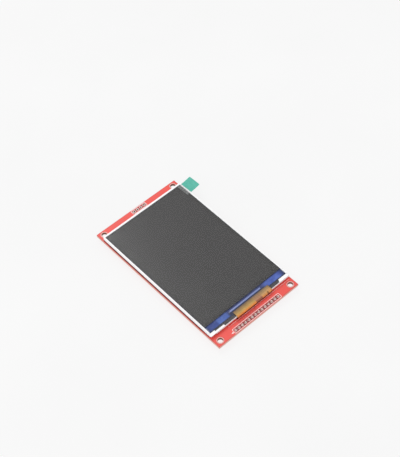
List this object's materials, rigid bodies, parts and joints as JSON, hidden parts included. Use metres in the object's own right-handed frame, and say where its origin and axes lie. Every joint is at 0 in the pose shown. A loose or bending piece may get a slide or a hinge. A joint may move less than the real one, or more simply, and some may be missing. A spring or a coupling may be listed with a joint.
{
  "type": "tft display module",
  "caption": "Flat colour display module: a glass display in a white backlight frame, mounted on a red circuit board with a card socket behind.",
  "frame": {"origin": "centre of the four mounting holes, on the circuit board's rear face", "axes": "+X across the short side with the main pin row towards the viewer, +Y along the long side away from the main pin row, +Z out of the display"},
  "size_m": [0.0687, 0.108, 0.0089],
  "materials": {
    "board": "glass-fibre board under a red solder mask with a soft gloss",
    "tin": "hot-air tinned copper",
    "solder": "bright solder",
    "foam": "dark foam tape",
    "white_frame": "white moulded plastic, satin",
    "white_sheet": "white film, satin",
    "clear_guide": "clear acrylic plate",
    "optical_sheet": "fine-ribbed clear film",
    "amber_flex": "amber polyimide film with copper tracks",
    "led_resin": "white package with pale yellow resin",
    "black_tape": "thin black polyester tape, satin",
    "polarizer": "dark grey polarizer film, semi-gloss",
    "display_glass": "thin display glass",
    "silicon": "bare silicon, polished",
    "blue_coat": "blue sealing resin, glossy",
    "clear_film": "thin clear protective film",
    "teal_tab": "teal film, satin",
    "black_plastic": "black moulded plastic",
    "steel_sheet": "plated steel sheet",
    "gold_spring": "gold-plated spring strip",
    "black_ceramic": "black glaze on ceramic",
    "brown_ceramic": "brown fired ceramic"
  },
  "bodies": {
    "root": {"circuit_board": "board", "mounting_rings": "tin", "pin_row_plating": "tin", "pin_row_solder": "solder", "card_row_plating": "tin", "foam_tape": "foam", "backlight_frame": "white_frame", "reflector_sheet": "white_sheet", "light_guide": "clear_guide", "diffuser_sheet": "white_sheet", "lower_prism_sheet": "optical_sheet", "upper_prism_sheet": "optical_sheet", "led_flex": "amber_flex", "backlight_leds": "led_resin", "rim_tape": "black_tape", "rear_polarizer": "polarizer", "rear_glass": "display_glass", "front_glass": "display_glass", "front_polarizer": "polarizer", "driver_chip": "silicon", "ledge_coating": "blue_coat", "shading_tape": "black_tape", "display_flex": "amber_flex", "protective_film": "clear_film", "pull_tab": "teal_tab", "card_socket_base": "black_plastic", "card_socket_cover": "steel_sheet", "card_socket_contacts": "gold_spring", "sot_packages": "black_plastic", "sot_leads": "tin", "chip_resistors": "black_ceramic", "chip_capacitors": "brown_ceramic", "chip_end_caps": "tin"}
  },
  "joints": []
}
